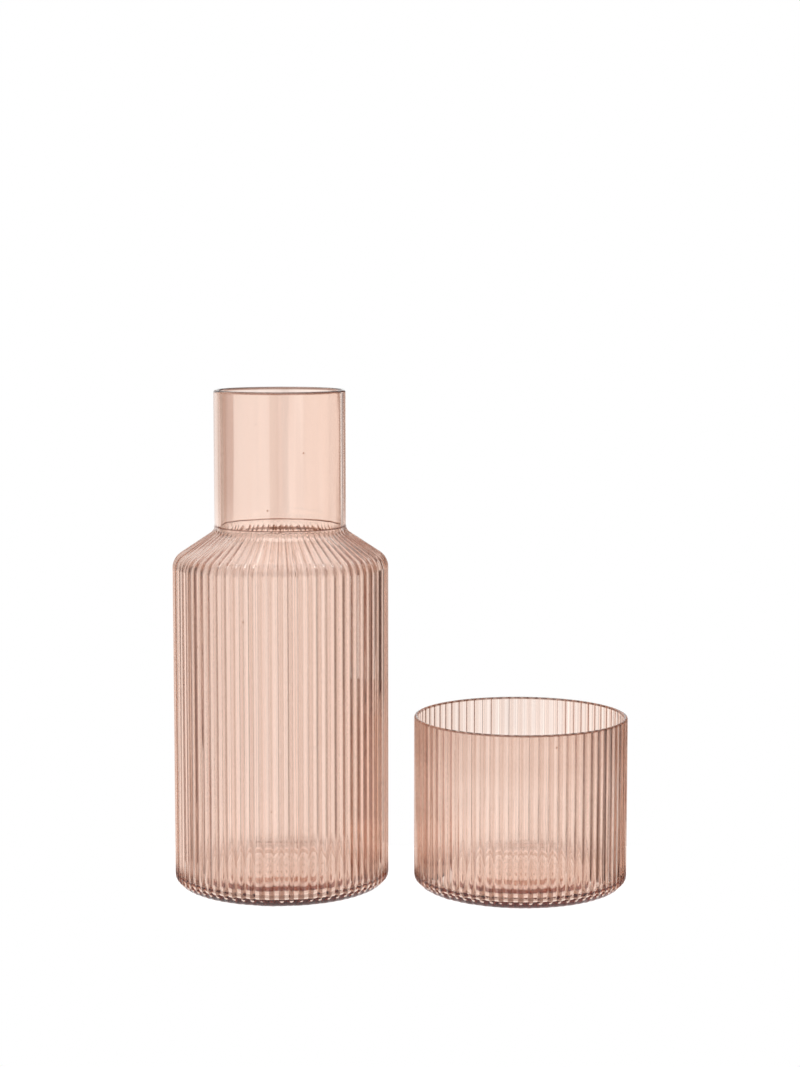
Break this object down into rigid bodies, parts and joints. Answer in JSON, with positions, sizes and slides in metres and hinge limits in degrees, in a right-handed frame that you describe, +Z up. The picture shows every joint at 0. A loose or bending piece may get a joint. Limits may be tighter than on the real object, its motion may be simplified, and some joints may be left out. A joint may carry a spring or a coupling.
{
  "type": "bedside carafe with tumbler",
  "caption": "Reeded rose glass carafe with a plain straight neck, and a reeded tumbler of the same width that turns over the neck as its lid.",
  "frame": {"origin": "on the table, under the middle of the box round the two pieces", "axes": "+Z up, +X from the carafe to the tumbler, -Y towards the viewer of the picture"},
  "size_m": [0.1816, 0.0892, 0.199],
  "materials": {
    "carafe_glass": "clear rose glass, fire-polished",
    "tumbler_glass": "clear rose glass, fire-polished"
  },
  "bodies": {
    "carafe": {"carafe": "carafe_glass"},
    "tumbler": {"tumbler": "tumbler_glass"}
  },
  "joints": [
    {"name": "tumbler_lift", "type": "slide", "parent": "carafe", "child": "tumbler", "axis": [0, 0, 1], "range_m": [0, 0.21]}
  ]
}
